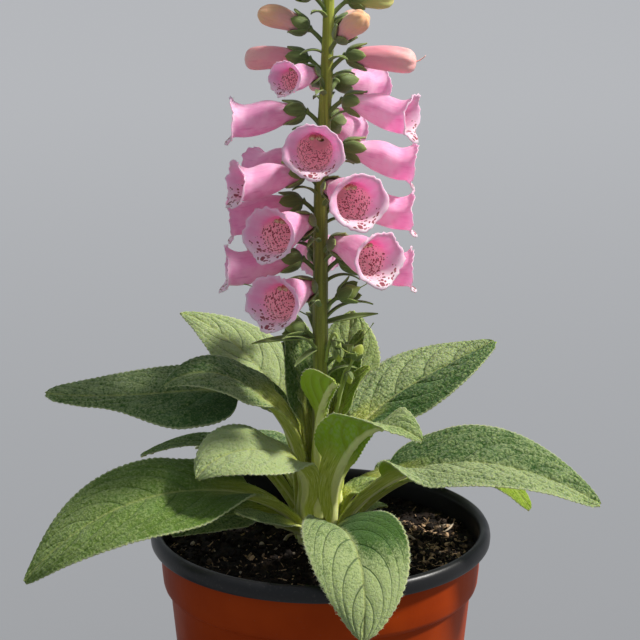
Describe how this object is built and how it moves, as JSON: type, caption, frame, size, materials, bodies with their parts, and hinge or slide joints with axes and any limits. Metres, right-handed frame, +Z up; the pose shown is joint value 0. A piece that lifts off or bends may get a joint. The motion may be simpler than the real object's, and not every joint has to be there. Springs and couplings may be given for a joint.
{
  "type": "potted foxglove",
  "caption": "Foxglove in a round tapered plastic pot filled with soil: a leafy crown and one upright stem hung with bell flowers, buds above them.",
  "frame": {"origin": "centre of the pot's underside, on the plane that the pot stands on", "axes": "+Z up along the pot's axis; +Y away from the viewer of the picture; +X to that viewer's right"},
  "size_m": [0.2922, 0.237, 0.503],
  "materials": {
    "pot": "satin",
    "soil": "matte",
    "stem": "satin",
    "leaf": "matte",
    "bell": "matte",
    "bud": "satin",
    "young_bud": "satin"
  },
  "bodies": {
    "root": {"bell_01": "bell", "bell_02": "bell", "bell_03": "bell", "bell_04": "bell", "bell_05": "bell", "bell_06": "bell", "bell_07": "bell", "bell_08": "bell", "bell_09": "bell", "bell_10": "bell", "bell_11": "bell", "bell_12": "bell", "bell_13": "bell", "bell_14": "bell", "bell_15": "bell", "bell_16": "bell", "bell_17": "bell", "bell_18": "bell", "bell_19": "bell", "bell_20": "bell", "bell_21": "bell", "bud_01": "bud", "bud_02": "bud", "bud_03": "bud", "closed_01": "bell", "closed_02": "bell", "closed_03": "bell", "flower_stem": "stem", "leaf_back_left_low": "leaf", "leaf_back_low": "leaf", "leaf_back_right_low": "leaf", "leaf_back_tall": "leaf", "leaf_front": "leaf", "leaf_left_back": "leaf", "leaf_left_front": "leaf", "leaf_left_high": "leaf", "leaf_left_low": "leaf", "leaf_left_mid": "leaf", "leaf_left_narrow": "leaf", "leaf_left_small": "leaf", "leaf_left_soil": "leaf", "leaf_right_front": "leaf", "leaf_right_high": "leaf", "leaf_right_inner": "leaf", "leaf_right_long": "leaf", "leaf_right_low": "leaf", "leaf_right_soil": "leaf", "leaf_small_front": "leaf", "leaf_small_right": "leaf", "pot": "pot", "soil": "soil", "young_bud_01": "young_bud", "young_bud_02": "young_bud", "young_bud_03": "young_bud"}
  },
  "joints": []
}
